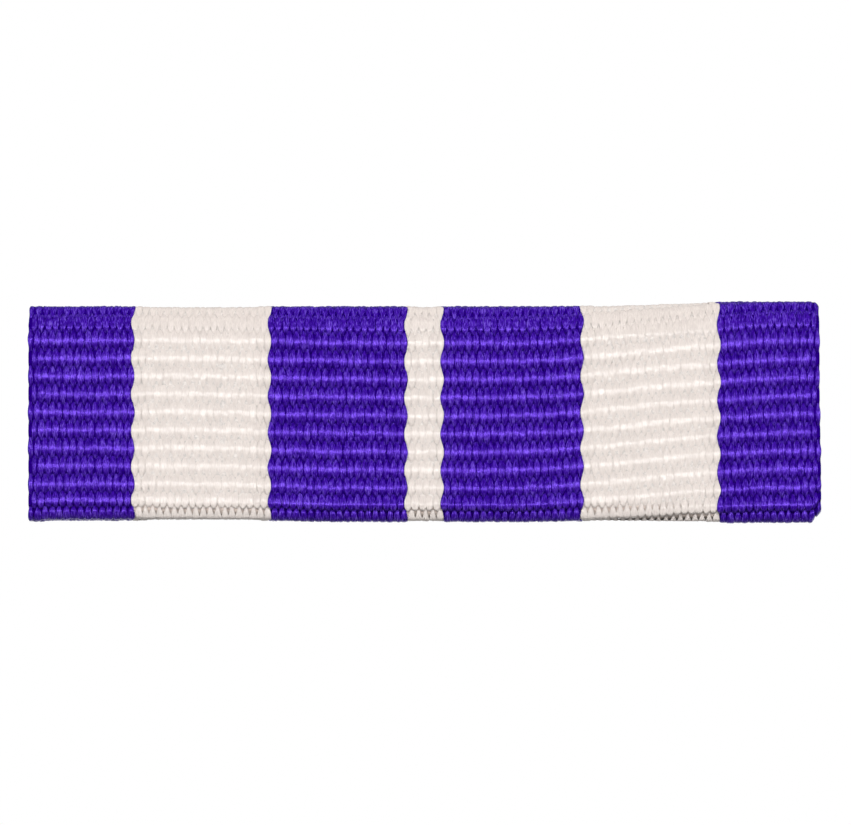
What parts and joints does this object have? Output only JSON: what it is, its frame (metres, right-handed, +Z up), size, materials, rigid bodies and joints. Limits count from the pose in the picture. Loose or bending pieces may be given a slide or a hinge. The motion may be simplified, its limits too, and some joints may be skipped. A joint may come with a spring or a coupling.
{
  "type": "military ribbon bar",
  "caption": "Striped woven service ribbon folded round a flat bar that slides on a holder with pointed posts and butterfly clutches.",
  "frame": {"origin": "centre of the holder's back face, which lies against the jacket cloth", "axes": "+X along the bar towards the wearer's left, +Y out of the holder's back into the jacket, +Z up; the ribbon faces -Y"},
  "size_m": [0.035, 0.0105, 0.0096],
  "materials": {
    "ribbon_cloth": "ribbed silky woven ribbon, purple with warm white lengthways stripes",
    "core_brass": "plain drawn bar, unpolished",
    "channel_brass": "satin, bent strip",
    "holder_brass": "satin, bent strip",
    "post_brass": "turned and bright",
    "clutch_brass": "pressed and bright, with light wear",
    "wing_spring_brass": "rolled spring strip, satin"
  },
  "bodies": {
    "holder": {"mounting_bar": "holder_brass", "left_post": "post_brass", "right_post": "post_brass"},
    "ribbon_unit": {"ribbon": "ribbon_cloth", "core_bar": "core_brass", "slide_channel": "channel_brass"},
    "left_clutch": {"left_clutch_base": "clutch_brass", "left_clutch_cover": "clutch_brass"},
    "left_near_wing": {"left_clutch_near_wing": "wing_spring_brass"},
    "left_far_wing": {"left_clutch_far_wing": "wing_spring_brass"},
    "right_clutch": {"right_clutch_base": "clutch_brass", "right_clutch_cover": "clutch_brass"},
    "right_near_wing": {"right_clutch_near_wing": "wing_spring_brass"},
    "right_far_wing": {"right_clutch_far_wing": "wing_spring_brass"}
  },
  "joints": [
    {"name": "ribbon_slide", "type": "slide", "parent": "holder", "child": "ribbon_unit", "axis": [1, 0, 0], "range_m": [0, 0.034]},
    {"name": "left_clutch_pull", "type": "slide", "parent": "holder", "child": "left_clutch", "axis": [0, 1, 0], "range_m": [0, 0.006]},
    {"name": "left_near_wing_squeeze", "type": "slide", "parent": "left_clutch", "child": "left_near_wing", "axis": [-1, 0, 0], "range_m": [0, 0.0006], "stiffness_N_per_m": 2000},
    {"name": "left_far_wing_squeeze", "type": "slide", "parent": "left_clutch", "child": "left_far_wing", "axis": [1, 0, 0], "range_m": [0, 0.0006], "stiffness_N_per_m": 2000},
    {"name": "right_clutch_pull", "type": "slide", "parent": "holder", "child": "right_clutch", "axis": [0, 1, 0], "range_m": [0, 0.006]},
    {"name": "right_near_wing_squeeze", "type": "slide", "parent": "right_clutch", "child": "right_near_wing", "axis": [-1, 0, 0], "range_m": [0, 0.0006], "stiffness_N_per_m": 2000},
    {"name": "right_far_wing_squeeze", "type": "slide", "parent": "right_clutch", "child": "right_far_wing", "axis": [1, 0, 0], "range_m": [0, 0.0006], "stiffness_N_per_m": 2000}
  ],
  "couplings": [
    {"joint": "left_far_wing_squeeze", "follows": "left_near_wing_squeeze", "ratio": 1},
    {"joint": "right_far_wing_squeeze", "follows": "right_near_wing_squeeze", "ratio": 1}
  ]
}
